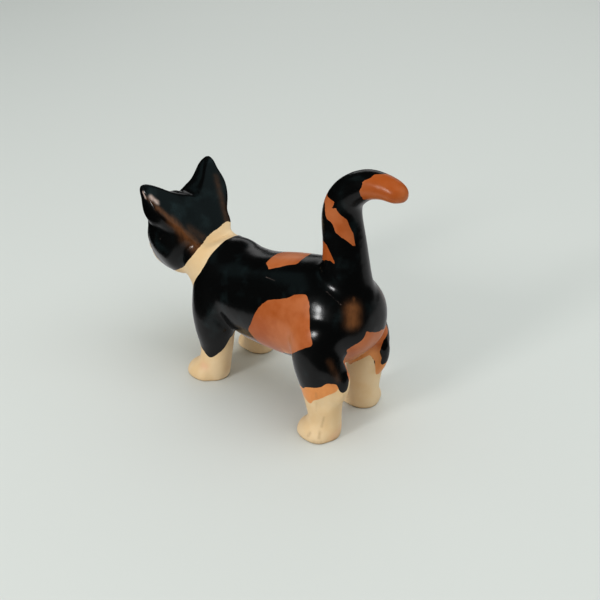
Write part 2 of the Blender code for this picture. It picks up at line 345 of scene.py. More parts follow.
def read(mesh):
    """Points and normals of a mesh as two arrays, the points in shares."""
    points = np.empty(len(mesh.vertices) * 3, np.float32)
    normals = np.empty(len(mesh.vertices) * 3, np.float32)
    mesh.vertices.foreach_get("co", points)
    mesh.vertex_normals.foreach_get("vector", normals)
    return points.reshape(-1, 3).astype(float) / SHARE, normals.reshape(-1, 3).astype(float)


def write(mesh, points):
    mesh.vertices.foreach_set("co", (points * SHARE).astype(np.float32).ravel())
    mesh.update()


def near_joins(points):
    """Largest over the joins of exp(-(distance / reach) squared), on both sides."""
    weight = np.zeros(len(points))
    for x, y, z, reach in JOINS:
        for middle in ((x, y, z), (-x, y, z)):
            distance = np.linalg.norm(points - middle, axis=1)
            weight = np.maximum(weight, np.exp(-(distance / reach) ** 2))
    return weight


skin = with_modifier(linked("limbs", rough_mesh), "REMESH", mode="VOXEL", voxel_size=SKIN_CELL)
skin = with_modifier(skin, "SMOOTH", iterations=SANDING)
weight = near_joins(read(skin.data)[0])
group = skin.vertex_groups.new(name="joins")
for step in range(1, 21):
    members = np.flatnonzero(np.round(weight * 20) == step)
    group.add(members.tolist(), step / 20, "REPLACE")
skin = with_modifier(skin, "SMOOTH", iterations=JOIN_SANDING, vertex_group="joins")
print("one skin of", len(skin.data.polygons), "faces")

# %% [markdown]
# ## The carver's hollows
# Round-nosed files leave shallow hollows: between the ears, behind the cheeks, beside the
# tendon above each heel.  They could be sculpted by hand.  Here each is a stroke from one
# point to another, and the skin sinks along its normal by a bell curve of the distance to
# that stroke.

# %% Strokes: x, y, z of one end, x, y, z of the other, reach, depth
BODY_STROKES = (
    (0.0, 41.0, 44.0, 0.0, 46.0, 32.0, 3.2, 0.5),
    (9.5, 38.5, 22.0, 11.0, 37.0, 33.0, 2.2, 1.0),
    (20.0, 37.0, 28.0, 19.5, 36.5, 17.0, 2.6, 0.8),
    (12.0, -19.0, 26.0, 17.0, -18.5, 30.0, 2.4, 0.8),
)
HEAD_STROKES = (
    (0.0, -51.0, 69.0, 0.0, -43.0, 59.0, 7.0, 1.0),
    (12.0, -64.0, 63.0, 15.0, -63.0, 71.0, 2.6, 1.4),
    (5.4, -68.0, 52.6, 9.6, -65.5, 53.6, 2.8, 0.9),
)


def both_sides(strokes):
    """Each stroke, and once more mirrored where it isn't in the middle."""
    result = []
    for stroke in strokes:
        result.append(stroke)
        if stroke[0] or stroke[3]:
            result.append(mirrored(stroke, ends=2))
    return result


def to_stroke(points, start, end):
    """Distance from each point to the straight line from start to end."""
    start, end = np.array(start, float), np.array(end, float)
    along = end - start
    share = np.clip((points - start) @ along / (along @ along), 0, 1)
    return np.linalg.norm(points - start - share[:, None] * along, axis=1)


def press(mesh, strokes):
    """Moves each point inwards by the sum of depth times exp(-(distance / reach) squared)."""
    points, normals = read(mesh)
    depths = np.zeros(len(points))
    for stroke in strokes:
        reach, depth = stroke[6:]
        depths += depth * np.exp(-(to_stroke(points, stroke[0:3], stroke[3:6]) / reach) ** 2)
    write(mesh, points - normals * depths[:, None])


# %% [markdown]
# ## The flat back of the head
# One pass of a broad flat file took the back of the head and of both ears to one plane.  A
# Boolean with a block would leave a knife edge, so the heights over the plane are eased
# down instead, and fade out beyond the ears.

# %% Filing it flat
FLAT_POINT, FLAT_NORMAL, FLAT_REACH = (0.0, -51.6, 70.3), (0.0, 0.781, 0.625), 27.0


def file_flat(mesh, point, normal, reach):
    """Files off what stands out over a plane: a height h over it becomes (h - sqrt(h squared
    + 1)) / 2, which keeps the edge of the cut rounded."""
    points = read(mesh)[0]
    normal = np.array(normal) / np.linalg.norm(normal)
    height = (points - point) @ normal
    near = np.clip((reach - np.linalg.norm(points - point, axis=1)) / 4, 0, 1)
    down = near * (height + np.sqrt(height**2 + 1.0)) / 2
    write(mesh, points - down[:, None] * normal)


file_flat(skin.data, FLAT_POINT, FLAT_NORMAL, FLAT_REACH)
press(skin.data, both_sides(BODY_STROKES) + turned(both_sides(HEAD_STROKES), ends=2))
print("pressed in", len(BODY_STROKES) + len(HEAD_STROKES), "kinds of stroke")

# %% [markdown]
# ## The soles
# The feet were rubbed flat on a board, and the sharp rim was broken with sandpaper.  So the
# wall of each foot turns in along a quarter circle just above the floor, and the stone is
# then cut at the floor and closed.

# %% Cutting the soles
RIM = 0.7                 # radius of the broken edge, in shares


def cut_soles(mesh):
    points, normals = read(mesh)
    level = normals * (1, 1, 0)
    level /= np.maximum(np.linalg.norm(level, axis=1), 0.3)[:, None]
    drop = np.clip(RIM - points[:, 2], 0, RIM)
    points -= level * (RIM - np.sqrt(RIM**2 - drop**2))[:, None]
    write(mesh, points)
    cut = bmesh.new()
    cut.from_mesh(mesh)
    everything = cut.verts[:] + cut.edges[:] + cut.faces[:]
    bmesh.ops.bisect_plane(cut, geom=everything, plane_co=Vector((0, 0, 0)),
                           plane_no=Vector((0, 0, 1)), clear_inner=True, dist=1e-7)
    rims = [edge for edge in cut.edges if edge.is_boundary]
    bmesh.ops.contextual_create(cut, geom=rims)
    cut.to_mesh(mesh)
    cut.free()


cut_soles(skin.data)
points, normals = read(skin.data)
placed = points * SHARE
middle = (placed.min(axis=0) + placed.max(axis=0)) / 2
on_frame = [(low.x + high.x) / 2 - middle[0], (low.y + high.y) / 2 - middle[1], low.z - placed[:, 2].min()]
shift = np.array(on_frame)
print("the frame lies", shift * 1000, "mm away")
print("soles cut, lowest point", points[:, 2].min(), "and", len(points), "points")

# %% [markdown]
# ## The camera
# The photograph was taken from behind the cat's left hip, looking down on it.  A camera could
# be moved by eye until the picture agrees.  Here its place follows from the four feet, which
# stand on one plane, and from the upright tail: a spot on the floor that it looks at, two
# angles and a distance.  It comes before the dye, because the dye is looked up through it.

# %% The camera
AIM = Vector((-0.0581, -0.03165, 0))
CAMERA_AZIMUTH, CAMERA_RISE, CAMERA_DISTANCE = 131.62, 28.73, 0.39515
LENS, SENSOR = 48, 36     # millimetres


def towards(azimuth, rise):
    """Direction from the cat to an eye: azimuth 0 is in front, 90 at the cat's left."""
    turn, rise = np.radians(azimuth), np.radians(rise)
    return np.array([np.sin(turn) * np.cos(rise), -np.cos(turn) * np.cos(rise), np.sin(rise)])


camera_data = bpy.data.cameras.new("camera")
camera_data.lens, camera_data.sensor_width = LENS, SENSOR
camera_data.clip_start = 0.01
camera = linked("camera", camera_data)
back_vector = Vector(towards(CAMERA_AZIMUTH, CAMERA_RISE))
camera.location = AIM + back_vector * CAMERA_DISTANCE
camera.rotation_mode = "QUATERNION"
camera.rotation_quaternion = (-back_vector).to_track_quat("-Z", "Y")
bpy.context.scene.camera = camera
print("the camera stands at", [round(value, 3) for value in camera.location])

# %% [markdown]
# ## Where the dye went
# The dye is only colour, so it isn't raised.  Each colour is kept as a number on every point
# of the skin: how far that point lies inside the colour's outline, in shares, and below zero
# outside.  The material turns that into a crisp edge, however coarse the mesh is.
# An outline could be painted on a picture with a UV map.  Here it is drawn as the dyer drew
# it, as points on the stone itself: on a card held against a flank, or on a strip wrapped
# round the tail, a leg or the neck.  Where an edge shows in the photograph, its points were
# read off as pixels of a frame of 600 by 600, and a ray from the camera finds each
# on the stone.  Where it doesn't show, its points are chosen straight on the card or strip.


# %% From a pixel of the photograph to a spot on the stone
PHOTO_SIDE = 600          # pixels
RINGS, RING_STEP = 28, 0.25

skin_tree = BVHTree.FromObject(skin, bpy.context.evaluated_depsgraph_get())
eye_point = camera.location - Vector(shift)


def on_stone(pixel):
    """The spot, in shares, where a ray from the camera through a pixel meets the skin.  A
    pixel just off the cat counts as the nearest one on it, found on growing rings."""
    for ring in range(RINGS):
        reach = ring * RING_STEP
        for turn in np.linspace(0, 2 * np.pi, max(1, 8 * ring), endpoint=False):
            level = (pixel[0] + reach * np.cos(turn)) / PHOTO_SIDE - 0.5
            upright = 0.5 - (pixel[1] + reach * np.sin(turn)) / PHOTO_SIDE
            ray = camera.rotation_quaternion @ Vector((level * SENSOR, upright * SENSOR, -LENS))
            spot = skin_tree.ray_cast(eye_point, ray.normalized())[0]
            if spot is not None:
                return np.array(spot) / SHARE
    raise ValueError("no stone near that pixel")


def spots_at(pixels):
    return np.array([on_stone(pixel) for pixel in pixels])


# %% Outlines and lines round a limb
def eased(outline, rounds=2, cut=0.18):
    """Cuts the corners of a closed outline, and then the corners of that one: each side loses
    the same share of its length at either end."""
    outline = np.array(outline, float)
    for _ in range(rounds):
        following = np.roll(outline, -1, axis=0)
        first, second = (1 - cut) * outline + cut * following, cut * outline + (1 - cut) * following
        outline = np.stack([first, second], axis=1).reshape(-1, 2)
    return outline


def depth_inside(spots, outline):
    """Distance from each spot to the outline, positive inside and negative outside.  A spot
    is inside where a level line from it crosses the outline an odd number of times."""
    outline = eased(outline)
    nearest = np.full(len(spots), np.inf)
    inside = np.zeros(len(spots), bool)
    for start, end in zip(outline, np.roll(outline, -1, axis=0)):
        along = end - start
        share = np.clip((spots - start) @ along / (along @ along), 0, 1)
        nearest = np.minimum(nearest, ((spots - start - share[:, None] * along) ** 2).sum(axis=1))
        crosses = (start[1] > spots[:, 1]) != (end[1] > spots[:, 1])
        rise = along[1] if along[1] else 1.0
        inside ^= crosses & (spots[:, 0] < start[0] + (spots[:, 1] - start[1]) * along[0] / rise)
    return np.where(inside, 1, -1) * np.sqrt(nearest)


def on_card(points, azimuth, rise=0.0):
    """Level and upright place of each point on a flat card that faces an eye there."""
    turn = np.radians(azimuth)
    level = np.array([np.cos(turn), np.sin(turn), 0.0])
    upright = np.cross(towards(azimuth, rise), level)
    return np.stack([points @ level, points @ upright], axis=1)


def round_axis(points, foot, lean=(0.0, 0.0)):
    """Angle in degrees round an upright axis over foot: 0 is +X and 90 is +Y."""
    return np.degrees(np.arctan2(points[:, 1] - foot[1] - lean[1], points[:, 0] - foot[0] - lean[0]))


def ring_line(angle, knots):
    """Height at each angle of a line drawn round a limb: straight between its knots, and
    then averaged over 5 degrees, so that its corners are eased."""
    grid = np.arange(0, 360)
    at, height = np.array(knots, float).T
    line = np.interp(grid, at, height, period=360)
    line = sum(np.roll(line, k) for k in range(-2, 3)) / 5
    return np.interp(angle, grid, line, period=360)


x, y, z = points.T

# %% The flank and the back: pixels of the edge that shows, then places on the card
FLANK_EDGE = ((252.1, 335.5), (248.3, 330.4), (248.6, 327.8), (250.9, 324.0), (253.2, 317.1),
              (256.6, 310.3), (261.2, 304.8), (267.6, 300.2), (274.4, 299.4), (281.3, 299.1),
              (288.8, 297.6), (294.0, 294.5), (303.1, 294.2), (306.0, 294.8), (307.7, 297.1),
              (309.7, 305.1), (309.2, 310.8), (309.5, 319.4), (309.7, 328.1), (310.9, 333.8),
              (311.8, 340.1), (312.4, 345.8), (304.9, 348.1), (297.4, 351.0), (291.1, 353.9),
              (287.1, 353.3), (283.6, 352.2), (282.5, 355.3))
FLANK_UNDER = ((8, 18), (2, 18), (0, 24))
BACK_EDGE = ((312.1, 253.4), (308.6, 255.3), (303.5, 258.4), (299.4, 261.9), (297.3, 264.2),
             (286.6, 265.3), (280.5, 267.0), (274.4, 268.3), (268.3, 269.3), (268.0, 267.6), (267.5, 265.5),
             (265.7, 263.0), (268.3, 260.4), (271.8, 257.3), (275.4, 254.8), (279.5, 253.0))
BACK_FAR = ((-7, -3), (-11, 0.5), (-10.5, 5))
RIGHT_FLANK = ((14.0, 40.0), (13.0, 45.5), (8.5, 48.0), (6.0, 51.5), (0.0, 52.0), (-5.0, 48.5),
               (-9.0, 43.0), (-8.0, 35.0), (-4.5, 32.0), (-1.0, 25.0), (6.0, 24.0), (10.0, 31.0))

flank_line = np.vstack([on_card(spots_at(FLANK_EDGE), 90), FLANK_UNDER])
back_line = np.vstack([spots_at(BACK_EDGE)[:, :2], BACK_FAR])
flank = np.minimum(depth_inside(on_card(points, 90), flank_line), x - 4)
back = np.minimum(depth_inside(points[:, :2], back_line), z - 50)
right_flank = np.minimum(depth_inside(on_card(points, 270), RIGHT_FLANK), -4 - x)
print("orange on the flanks:", int((np.maximum(flank, right_flank) > 0).sum()), "points")

# %% The rump, on a card that faces the camera
RUMP_LEFT = ((383.6, 330.0), (381.5, 331.0), (376.7, 332.2), (370.9, 332.2), (366.4, 331.2),
             (365.2, 335.3), (362.8, 339.1), (358.5, 343.0), (351.8, 346.3), (346.1, 350.6),
             (347.2, 352.5), (346.5, 354.4), (343.7, 360.2), (343.2, 362.1), (345.6, 366.9),
             (347.0, 371.7), (348.0, 376.5), (349.2, 378.6))
THIGH_LOW = ((350.4, 364.5), (353.7, 362.3), (358.5, 360.4), (366.1, 356.6), (369.5, 354.9),
             (371.4, 356.4), (372.4, 358.3), (374.8, 360.7), (375.0, 365.5), (374.5, 370.2),
             (375.2, 374.5), (378.1, 374.1), (380.7, 372.2))
THIGH_RIGHT = ((382.9, 364.7), (381.5, 364.5), (380.5, 363.1), (381.0, 360.7), (381.9, 357.8),
               (380.0, 353.5), (380.0, 350.6), (381.9, 344.9), (383.9, 339.1), (385.3, 333.4),
               (386.7, 326.7))
RUMP_RIGHT = ((2.0, 41.8), (5.5, 40.4), (9.0, 40.0), (12.5, 38.7), (15.0, 36.2), (15.5, 33.2),
              (13.6, 32.2), (12.0, 31.2), (9.0, 32.2), (4.0, 35.2))
PHOTO_EYE = (CAMERA_AZIMUTH, CAMERA_RISE)

rump_edges = [on_card(spots_at(edge), *PHOTO_EYE) for edge in (RUMP_LEFT, THIGH_LOW, THIGH_RIGHT)]
rump_line = np.vstack([rump_edges[0], [(25.2, 6.4)], rump_edges[1], [(39, 7.4), (39, 9.6)], rump_edges[2]])
seen = np.minimum(points @ towards(*PHOTO_EYE) - 20.5, 30 * (normals @ towards(*PHOTO_EYE)))
rump = np.minimum(depth_inside(on_card(points, *PHOTO_EYE), rump_line), np.minimum(seen, y - 14))
rump_right = np.minimum(depth_inside(on_card(points, 180), RUMP_RIGHT), y - 30)
print("orange on the rump:", int((np.maximum(rump, rump_right) > 0).sum()), "points")

# %% The tail: pixels, and then angles and the way along its middle line
TAIL_LOW = ((323.7, 241.1), (326.7, 244.4), (330.6, 253.1), (336.4, 265.5), (330.6, 260.7),
            (326.7, 259.5), (322.7, 260.5))
TAIL_MID = ((327.3, 194.9), (329.6, 199.0), (334.4, 201.8), (333.7, 205.1), (331.6, 207.7),
            (333.2, 209.2), (335.7, 207.9), (338.3, 212.2), (342.9, 216.8), (347.1, 219.4),
            (348.5, 223.5), (350.0, 227.6), (353.6, 233.2), (354.1, 239.8), (355.6, 246.4),
            (353.6, 246.4), (345.9, 239.8), (335.2, 232.4), (334.2, 227.6), (330.6, 221.4),
            (326.3, 218.2), (325.0, 211.2), (325.2, 203.1))
TAIL_TIP = ((363.5, 199.7), (362.4, 198.0), (360.2, 193.9), (359.0, 191.3), (362.2, 187.2),
            (362.4, 181.6), (370.4, 178.1), (373.0, 174.8), (379.6, 174.3), (385.7, 174.1))
TAIL_LOW_FAR = ((-60, 22), (-80, 26), (-60, 30.2))
TAIL_MID_FAR = ((-60, 41), (-85, 42), (-75, 44))
TAIL_TIP_FAR = ((-150, 61), (-180, 59), (-180, 95), (180, 95), (180, 59), (120, 60), (80, 58), (55, 56))
TAIL_GIRTH = 0.122        # shares along the skin for one degree round the tail

tail_line = spline(np.array(TAIL, float), 400)[:, 1:3]
tail_way = np.append(0, np.cumsum(np.linalg.norm(np.diff(tail_line, axis=0), axis=1)))
tail_steps = np.gradient(tail_line, axis=0)
tail_steps /= np.linalg.norm(tail_steps, axis=1)[:, None]


def round_tail(points):
    """Place on a strip wrapped round the tail: the angle from the cat's left towards the
    inside of the bend, times the girth, and the way along the tail's middle line."""
    nearest = np.argmin(np.linalg.norm(points[:, None, 1:] - tail_line[None], axis=2), axis=1)
    off = points[:, 1:] - tail_line[nearest]
    steps = tail_steps[nearest]
    inwards = off[:, 0] * steps[:, 1] - off[:, 1] * steps[:, 0]
    return np.stack([np.degrees(np.arctan2(inwards, points[:, 0])) * TAIL_GIRTH, tail_way[nearest]], axis=1)


on_tail = np.flatnonzero((z > 56) & (y > 15))
strip = round_tail(points[on_tail])
tail = np.full(len(points), -9.0)
for edge, far in ((TAIL_LOW, TAIL_LOW_FAR), (TAIL_MID, TAIL_MID_FAR), (TAIL_TIP, TAIL_TIP_FAR)):
    outline = np.vstack([round_tail(spots_at(edge)), np.array(far) * (TAIL_GIRTH, 1)])
    depth = depth_inside(strip, outline)
    tail[on_tail] = np.maximum(tail[on_tail], depth)
print("on the tail:", len(on_tail), "points,", int((tail > 0).sum()), "of them orange")

# %% The legs: pixels of each line, and then angles and heights
LEFT_FRONT_SOCK = ((199.1, 345.8), (202.4, 348.6), (204.2, 351.2), (206.4, 354.8), (208.7, 356.8),
                   (210.7, 357.5), (213.6, 356.8), (217.1, 354.4), (221.2, 351.2), (223.8, 348.6),
                   (226.1, 345.4), (228.3, 341.0), (230.1, 337.6), (232.3, 335.8))
LEFT_FRONT_FAR = ((-120, 20), (-80, 16.5), (-30, 13.4), (120, 22), (150, 24), (195, 23))
RIGHT_FRONT_SOCK = ((0, 22), (60, 23), (120, 17), (180, 13), (230, 14), (300, 19))
LEFT_HIND_BLACK = ((302.8, 388.3), (305.3, 387.1), (308.4, 387.1), (312.9, 387.8), (317.3, 387.8),
                   (321.8, 386.7), (325.8, 384.2), (328.0, 383.7), (332.9, 383.8), (336.1, 384.5),
                   (337.6, 385.8), (338.5, 388.9), (339.6, 391.8), (341.7, 393.2), (344.1, 392.5),
                   (345.9, 391.4), (347.7, 388.5), (348.6, 384.5))
LEFT_HIND_BLACK_FAR = ((-90, 22), (95, 29.5), (100, 34), (112, 38), (125, 42), (180, 40), (230, 30),
                       (255, 25))
LEFT_HIND_SOCK = ((308.4, 402.3), (309.7, 403.2), (311.5, 403.7), (312.4, 401.4), (314.2, 400.1),
                  (318.2, 399.4), (322.7, 397.9), (326.2, 396.1), (330.7, 394.3), (334.3, 392.7),
                  (337.4, 391.2))
LEFT_HIND_FAR = ((-60, 18.5), (-25, 17.6), (73, 26.5), (90, 27.5), (100, 28), (120, 26.5), (180, 24),
                  (230, 20))
RIGHT_HIND_BLACK = ((78, -5), (82, 21.0), (95, 22), (120, 24), (180, 25.5), (230, 26), (290, 25), (297, -5))
RIGHT_HIND_FAR = ((-60, 18.7), (110, 17), (180, 18.5), (250, 17), (290, 18))


def round_leg(name, points):
    """Angle of each point round the upright axis of a leg."""
    side = 1 if "left" in name else -1
    lean = (-2.1 * side, 3.9) if "front" in name else (-0.2 * side, 1.4)
    return round_axis(points, FEET[name], lean)


def line_height(name, edge, far):
    """Height of a line round a leg at the angle of each point of the skin."""
    spots = spots_at(edge)
    knots = [*zip(round_leg(name, spots), spots[:, 2]), *far] if len(edge) else far
    return ring_line(round_leg(name, points), knots)


left_front = line_height("left_front", LEFT_FRONT_SOCK, LEFT_FRONT_FAR) - z
right_front = line_height("right_front", (), RIGHT_FRONT_SOCK) - z
left_hind_black = z - line_height("left_hind", LEFT_HIND_BLACK, LEFT_HIND_BLACK_FAR)
left_hind = line_height("left_hind", LEFT_HIND_SOCK, LEFT_HIND_FAR) - z
right_hind_black = z - line_height("right_hind", (), RIGHT_HIND_BLACK)
right_hind = line_height("right_hind", THIGH_LOW, RIGHT_HIND_FAR) - z
print("the left front sock is at most", round(float((left_front + z).max()), 1), "shares high")

# %% The collar of undyed stone
NECK = (0.0, -37.0, 46.5)
NECK_LEAN = 27.0          # degrees that the neck rises forwards
HEAD_SIDE = ((175.7, 270.2), (179.0, 268.9), (182.8, 267.4), (184.8, 265.6), (187.4, 261.7),
             (191.0, 257.4), (195.0, 252.8), (199.6, 247.2), (203.7, 241.6), (207.3, 236.7),
             (212.9, 231.6), (217.0, 229.1), (221.1, 225.8), (225.1, 222.2), (227.7, 221.2),
             (229.7, 222.5))
HEAD_SIDE_FAR = ((-90, 19), (-60, 12), (160, 7), (190, 6), (225, 8))
BODY_SIDE = ((192.5, 286.5), (195.0, 280.4), (197.6, 276.3), (200.7, 272.2), (204.7, 265.6),
             (208.3, 258.9), (211.4, 254.3), (216.0, 249.2), (220.0, 245.2), (224.1, 241.3),
             (228.2, 238.8), (232.8, 236.5), (236.4, 235.5))
BODY_SIDE_FAR = ((-90, -17), (-60, -12), (-42, -6.5), (150, -1.5), (180, -4.5), (225, -6.5), (245, -12))


def round_neck(points):
    """Angle round the neck, 0 at the cat's left and 90 on top, and the way along it."""
    lean = np.radians(NECK_LEAN)
    forward = np.array([0, -np.cos(lean), np.sin(lean)])
    upward = np.array([0, np.sin(lean), np.cos(lean)])
    off = points - NECK
    return np.degrees(np.arctan2(off @ upward, off[:, 0])), off @ forward


neck_angle, neck_way = round_neck(points)
head_line, body_line = (
    ring_line(neck_angle, [*zip(*round_neck(spots_at(edge))), *far])
    for edge, far in ((HEAD_SIDE, HEAD_SIDE_FAR), (BODY_SIDE, BODY_SIDE_FAR)))
collar = np.minimum(head_line - neck_way, neck_way - body_line)
collar = np.where(y < -20, collar, -9)
print("undyed collar on", int((collar > 0).sum()), "points")

# %% The face, drawn on a card that is turned with the head
BLAZE = ((0, 62.0), (1.6, 58.0), (2.6, 54.0), (5.0, 50.5), (8.6, 48.0), (10.4, 43.5), (9.5, 37.0), (0, 33.0),
         (-9.5, 37.0), (-10.4, 43.5), (-8.6, 48.0), (-5.0, 50.5), (-2.6, 54.0), (-1.6, 58.0))
EYE = ((3.4, 53.0), (5.2, 55.4), (7.6, 56.2), (10.4, 55.0), (8.4, 53.0), (5.8, 52.2))
PUPIL = ((6.0, 54.0), (6.8, 56.6), (7.7, 54.2), (6.9, 51.8))
NOSE = ((-2.0, 48.6), (2.0, 48.6), (0.6, 46.4), (-0.6, 46.4))
EYE_PATCH = ((-3.2, 52.5), (-3.6, 58.0), (-7.0, 62.0), (-12.5, 61.0), (-15.5, 56.0), (-13.0, 49.0),
             (-8.6, 48.5))

face = on_card(points - (0, HEAD_PIVOT, 0), HEAD_TURN)
beside = np.stack([np.abs(face[:, 0]), face[:, 1]], axis=1)
in_front = -60 - y
eye = np.minimum(depth_inside(beside, EYE), in_front)
pupil = np.minimum(depth_inside(beside, PUPIL), in_front)
nose = np.minimum(depth_inside(face, NOSE), -68 - y)
blaze = np.minimum(depth_inside(face, BLAZE), in_front)
eye_patch = np.minimum(depth_inside(face, EYE_PATCH), in_front)

# %% Two colours, each as a depth
behind = y > 12
left, right = x > 0.5, x <= 0.5
left_hind = np.minimum(left_hind, -left_hind_black)
sock = np.where(behind, np.where(left, left_hind, right_hind), np.where(left, left_front, right_front))
sock = np.where(z < 30, sock, -9)
band = np.where(left, -left_hind_black, -right_hind_black)
band = np.where(behind & (z < 30), band, -9)
orange_depth = np.maximum.reduce([flank, back, tail, right_flank, band, rump, rump_right, eye_patch])
cream_depth = np.maximum.reduce([sock, collar, blaze, eye])
cream_depth = np.minimum(cream_depth, -np.maximum(pupil, nose))
orange_depth = np.minimum(orange_depth, -pupil)
print("orange on", int((orange_depth > 0).sum()), "points, cream on", int((cream_depth > 0).sum()))

# %% [markdown]
# ## Wear, dirt and painted light
# On the ridges that hands rub, the black has worn thin and brown stone shows through, and the
# same brown strokes also paint a warm reflection on the polish of the ear ridge, the haunch
# and a hind leg.  Pale strokes paint highlights on the tip of the left ear, beside real light
# scratches in the black.  The undyed feet have fine cracks and dirt in them.  They could be
# painted on with a brush in texture paint.  Here each is a stroke again, as a share that falls
# off with the distance.

# %% Strokes of wear and of painted light: a pixel of the photograph at either end, reach, share
# Brown strokes, partly worn dye and partly a painted warm reflection: along the left ear's ridge, on the
# haunch and down a hind leg.
WORN_AND_REFLECTED = (
    (147, 198, 158, 208, 0.9, 0.45),
    (158, 208, 172, 221, 1.4, 0.6),
    (172, 221, 188, 238, 2.4, 0.65),
    (188, 238, 197.5, 247.5, 3.6, 0.6),
    (190, 229, 202.5, 237.5, 2.8, 0.3),
    (353, 309.5, 353, 322, 3.2, 0.8),
    (354, 299, 354, 300, 0.9, 0.5),
    (329.5, 362, 338, 380.5, 1.6, 0.3),
    (241, 334.5, 252.5, 339, 2.6, 0.9),
)
# Pale strokes: the first two paint highlights on the tip of the left ear, the other three are light
# scratches in the black.
SCRATCHES_AND_HIGHLIGHTS = (
    (143, 192, 145.5, 198, 0.5, 1.0),
    (151, 197, 157.5, 202.5, 1.2, 0.8),
    (326, 291, 341, 305, 0.3, 0.35),
    (266, 277, 275, 281, 0.3, 0.35),
    (166, 229, 160, 239, 0.3, 0.3),
)
DIRT = (
    (316, 393, 316, 398, 0.5, 0.45),
    (316.5, 403, 316, 411, 0.6, 0.3),
    (324, 417, 321.5, 427, 0.6, 0.5),
    (308, 436, 310, 433, 0.8, 0.5),
    (320, 432, 319, 438, 0.8, 0.5),
    (314, 442, 320, 443, 1.3, 0.4),
    (334, 439.5, 342, 430.5, 1.5, 0.4),
)
BLUSH = (
    (203, 365, 205.5, 366.5, 1.6, 0.8),
    (334, 437, 342, 424.5, 2.2, 0.6),
)

# %% The same wear and painted reflection on the far side: x, y, z of one end, of the other, reach, share
WORN_AND_REFLECTED_FAR = (
    (-16.0, -52.0, 72.0, -10.0, -40.5, 56.5, 2.0, 0.35),
    (-9.5, 36.5, 60.0, -9.0, 39.5, 50.0, 2.6, 0.35),
)


def found(strokes):
    """Strokes given by a pixel at either end, with their ends looked up on the stone."""
    return [(*on_stone(stroke[0:2]), *on_stone(stroke[2:4]), *stroke[4:]) for stroke in strokes]


def stroked(points, strokes):
    """Largest over the strokes of share times exp(-(distance / reach) squared)."""
    share = np.zeros(len(points))
    for stroke in strokes:
        reach, most = stroke[6:]
        distance = to_stroke(points, stroke[0:3], stroke[3:6])
        share = np.maximum(share, most * np.exp(-(distance / reach) ** 2))
    return share


# The brown share is worn dye with a painted reflection; the pale share is light scratches with painted
# highlights.
worn_and_reflected, scratch_and_highlight = stroked(points, found(WORN_AND_REFLECTED) + [*WORN_AND_REFLECTED_FAR]), stroked(points, found(SCRATCHES_AND_HIGHLIGHTS))
dirt, blush = stroked(points, found(DIRT)), stroked(points, found(BLUSH))
print("worn on", int((worn_and_reflected > 0.1).sum()), "points, dirt on", int((dirt > 0.1).sum()))


# %% Attributes for the material
def keep(mesh, name, values):
    attribute = mesh.attributes.new(name, "FLOAT", "POINT")
    attribute.data.foreach_set("value", np.asarray(values, np.float32))


keep(skin.data, "orange_depth", np.clip(orange_depth, -9, 9))
keep(skin.data, "cream_depth", np.clip(cream_depth, -9, 9))
keep(skin.data, "thin_dye", np.where(behind, np.clip((30 - z) / 4, 0, 1), 0))
# Brown wear together with painted reflection.
keep(skin.data, "worn_and_reflected", worn_and_reflected)
# Pale scratches together with painted highlights.
keep(skin.data, "scratch_and_highlight", scratch_and_highlight)
keep(skin.data, "dirt", dirt)
keep(skin.data, "blush", blush)

# %% [markdown]
# ## The finish
# The dye soaked into the stone, and wax over it gives one even gloss: sharpest on the black,
# duller on the orange, and nearly matt where the stone is bare.  A picture could hold all
# this.  Here nodes work it out from the depths kept above, so an edge stays crisp at any
# distance.  Shader sums read best as sums, so a Socket adds a Math node for each sign.

# %% A socket that can be added and multiplied
class Socket:
    """One output of a node.  Each sign between it and a number or another Socket adds a Math
    node to the same material."""

    def __init__(self, recipe, output):
        self.recipe, self.output = recipe, output

    def sum(self, operation, *values):
        made = self.recipe.node("ShaderNodeMath", {"operation": operation}, dict(enumerate(values)))
        return Socket(self.recipe, made.outputs[0])

    def __add__(self, other):
        return self.sum("ADD", self, other)

    def __radd__(self, other):
        return self.sum("ADD", other, self)

    def __sub__(self, other):
        return self.sum("SUBTRACT", self, other)

    def __rsub__(self, other):
        return self.sum("SUBTRACT", other, self)

    def __mul__(self, other):
        return self.sum("MULTIPLY", self, other)

    def __rmul__(self, other):
        return self.sum("MULTIPLY", other, self)

    def ramp(self, low, high):
        """0 below low, 1 above high, and a smooth step between them."""
        made = self.recipe.node("ShaderNodeMapRange", {"interpolation_type": "SMOOTHSTEP"},
                                {"Value": self, "From Min": low, "From Max": high})
        return Socket(self.recipe, made.outputs["Result"])


class Recipe:
    """The nodes of one material."""

    def __init__(self, name):
        self.material = bpy.data.materials.new(name)
        self.material.use_nodes = True
        self.tree = self.material.node_tree
        self.shader = self.tree.nodes["Principled BSDF"]
        self.place = self.node("ShaderNodeTexCoord", {}, {}).outputs["Object"]

    def node(self, kind, settings, sockets):
        made = self.tree.nodes.new(kind)
        for name, value in settings.items():
            setattr(made, name, value)
        self.fill(made, sockets)
        return made

    def fill(self, node, sockets):
        for name, value in sockets.items():
            value = value.output if isinstance(value, Socket) else value
            if isinstance(value, bpy.types.NodeSocket):
                self.tree.links.new(value, node.inputs[name])
            else:
                node.inputs[name].default_value = value

    def attribute(self, name):
        return Socket(self, self.node("ShaderNodeAttribute", {"attribute_name": name}, {}).outputs["Fac"])

    def noise(self, size, detail=2.0, stretch=(1, 1, 1), shift=0.0):
        """Cloudy noise from about 0 to 1, with cells of that size in metres."""
        place = self.node("ShaderNodeMapping", {}, {"Vector": self.place, "Scale": stretch,
                                                    "Location": (shift, shift, shift)})
        made = self.node("ShaderNodeTexNoise", {},
                         {"Vector": place.outputs[0], "Scale": 1 / size, "Detail": detail})
        return Socket(self, made.outputs["Fac"])

    def mix(self, share, first, second):
        made = self.node("ShaderNodeMix", {"data_type": "RGBA"}, {0: share, 6: first, 7: second})
        return made.outputs[2]


